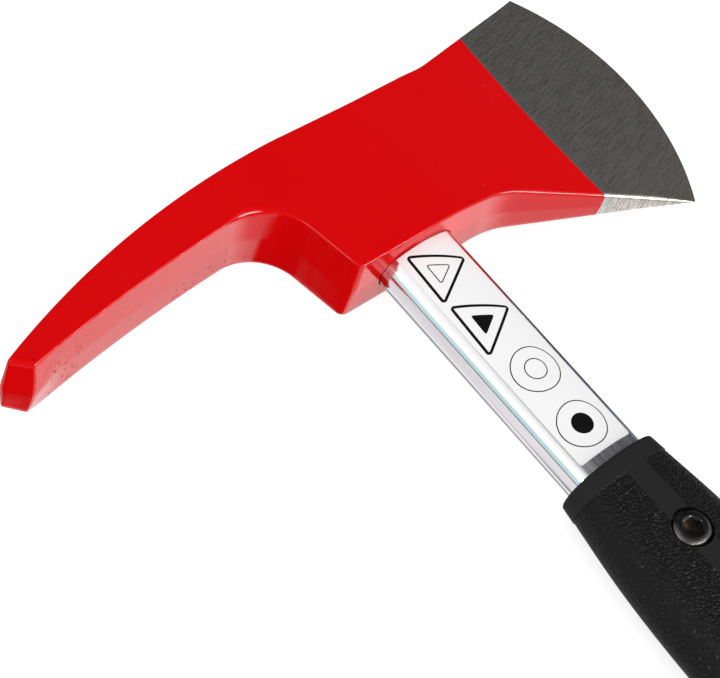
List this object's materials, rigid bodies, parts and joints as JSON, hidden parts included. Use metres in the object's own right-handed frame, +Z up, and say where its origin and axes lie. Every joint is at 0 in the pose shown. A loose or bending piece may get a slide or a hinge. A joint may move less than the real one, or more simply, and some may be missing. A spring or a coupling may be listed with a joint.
{
  "type": "fire axe",
  "caption": "Short fire axe: forged head with cutting blade and curved pick, flat-oval chromed steel tube handle and moulded black grip.",
  "frame": {"origin": "on the lower cheek of the head, under the handle's axis, halfway up the eye", "axes": "+X from the pick to the cutting edge, +Y away from the handle, which points along -Y, and +Z up, square to the cheeks, as the axe lies on its side"},
  "size_m": [0.2671, 0.3556, 0.0306],
  "materials": {
    "head_paint": "gloss red enamel on forged steel, with the blade ground back to bare steel near its edge",
    "tube_chrome": "bright chrome plate on steel tube",
    "plug_steel": "turned steel, dull",
    "grip_rubber": "black, with a coarse leather-like grain",
    "cap_plastic": "black, lightly grained",
    "fastener_steel": "black oxide, worn bright on the chamfers",
    "label_film": "white film with plain printed outlines of two triangles and two rings"
  },
  "bodies": {
    "root": {"axe_head": "head_paint", "handle_tube": "tube_chrome", "eye_plug": "plug_steel", "grip_sleeve": "grip_rubber", "butt_cap": "cap_plastic", "front_grip_screw": "fastener_steel", "front_sleeve_nut": "fastener_steel", "rear_grip_screw": "fastener_steel", "rear_sleeve_nut": "fastener_steel", "tube_label": "label_film"}
  },
  "joints": []
}
